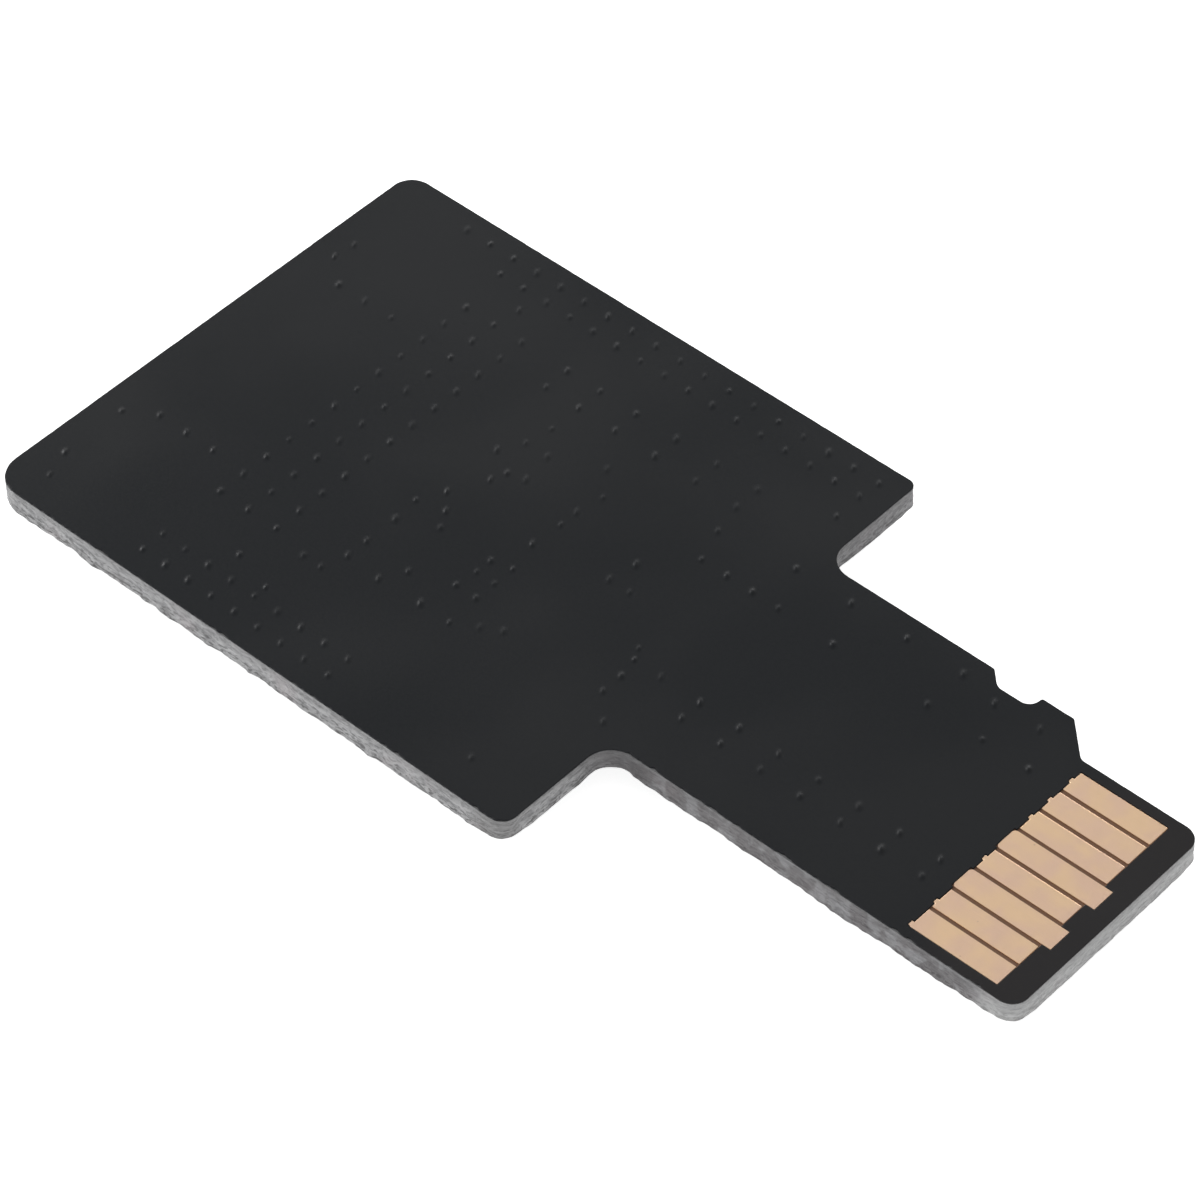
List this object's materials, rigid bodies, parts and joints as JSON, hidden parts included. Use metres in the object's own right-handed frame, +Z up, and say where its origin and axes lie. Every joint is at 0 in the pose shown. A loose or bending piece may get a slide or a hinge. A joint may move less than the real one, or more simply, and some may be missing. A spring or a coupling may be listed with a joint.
{
  "type": "memory module adapter board",
  "caption": "Thin stepped circuit board with gold card contacts on a notched tongue, and low module sockets under its wide part.",
  "frame": {"origin": "under the middle of the board's outline, on the level of the sockets' mating faces", "axes": "+X along the board to the nose of the tongue, +Y to the tongue's notched side, +Z up, on the side with the card contacts"},
  "size_m": [0.0402, 0.0208, 0.0019],
  "materials": {
    "laminate": "rough cut glass epoxy edge",
    "contact_side_mask": "satin black solder mask with tented vias",
    "component_side_mask": "satin black solder mask",
    "gold_contacts": "satin gold plating",
    "socket_plastic": "fine moulded",
    "lead_metal": "gold plated spring strip",
    "tab_metal": "tinned strip",
    "solder": "reflowed solder",
    "pad_metal": "gold plated copper",
    "plated_ends": "tinned",
    "capacitor_ceramic": "tumbled ceramic",
    "resistor_ceramic": "glazed black film on ceramic"
  },
  "bodies": {
    "root": {"bulk_capacitor": "capacitor_ceramic", "bulk_capacitor_ends": "plated_ends", "chip_pads": "pad_metal", "chip_solder": "solder", "circuit_board": "laminate", "clock_damping_resistor": "resistor_ceramic", "clock_damping_resistor_ends": "plated_ends", "component_side_mask": "component_side_mask", "contact_clock": "gold_contacts", "contact_command": "gold_contacts", "contact_data_0": "gold_contacts", "contact_data_1": "gold_contacts", "contact_data_2": "gold_contacts", "contact_data_3": "gold_contacts", "contact_ground": "gold_contacts", "contact_side_mask": "contact_side_mask", "contact_supply": "gold_contacts", "decoupling_capacitor_1": "capacitor_ceramic", "decoupling_capacitor_1_ends": "plated_ends", "decoupling_capacitor_2": "capacitor_ceramic", "decoupling_capacitor_2_ends": "plated_ends", "decoupling_capacitor_3": "capacitor_ceramic", "decoupling_capacitor_3_ends": "plated_ends", "decoupling_capacitor_4": "capacitor_ceramic", "decoupling_capacitor_4_ends": "plated_ends", "front_socket_hold_downs": "tab_metal", "front_socket_housing": "socket_plastic", "front_socket_leads": "lead_metal", "front_socket_pads": "pad_metal", "front_socket_solder": "solder", "pull_up_command": "resistor_ceramic", "pull_up_command_ends": "plated_ends", "pull_up_data_0": "resistor_ceramic", "pull_up_data_0_ends": "plated_ends", "pull_up_data_1": "resistor_ceramic", "pull_up_data_1_ends": "plated_ends", "pull_up_data_2": "resistor_ceramic", "pull_up_data_2_ends": "plated_ends", "pull_up_data_3": "resistor_ceramic", "pull_up_data_3_ends": "plated_ends", "rear_socket_hold_downs": "tab_metal", "rear_socket_housing": "socket_plastic", "rear_socket_leads": "lead_metal", "rear_socket_pads": "pad_metal", "rear_socket_solder": "solder"}
  },
  "joints": []
}
